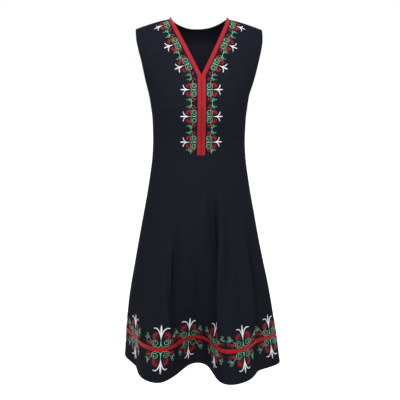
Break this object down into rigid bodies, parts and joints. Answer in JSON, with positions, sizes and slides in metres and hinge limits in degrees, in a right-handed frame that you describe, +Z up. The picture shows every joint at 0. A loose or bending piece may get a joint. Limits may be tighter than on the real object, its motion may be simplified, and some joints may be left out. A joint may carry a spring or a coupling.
{
  "type": "folk pinafore dress",
  "caption": "Sleeveless V-neck dress in dark cloth with a front slit, red braid and a fluted skirt, hollow as when worn.",
  "frame": {"origin": "midway between the two shoulder seams, at their mean height, where the wearer's shoulders carry the dress", "axes": "+Z up along the dress, -Y the way its front faces, +X the wearer's left"},
  "size_m": [0.4872, 0.4685, 1.0523],
  "materials": {
    "dark_cloth": "matt midnight-black twill, with flat satin-stitch embroidery in white, red and green thread",
    "red_braid": "flat woven red braid with a fine rib and tiny picot edges"
  },
  "bodies": {
    "root": {"front": "dark_cloth", "back": "dark_cloth", "neck_braid_left": "red_braid", "neck_braid_right": "red_braid", "hem_braid": "red_braid"}
  },
  "joints": []
}
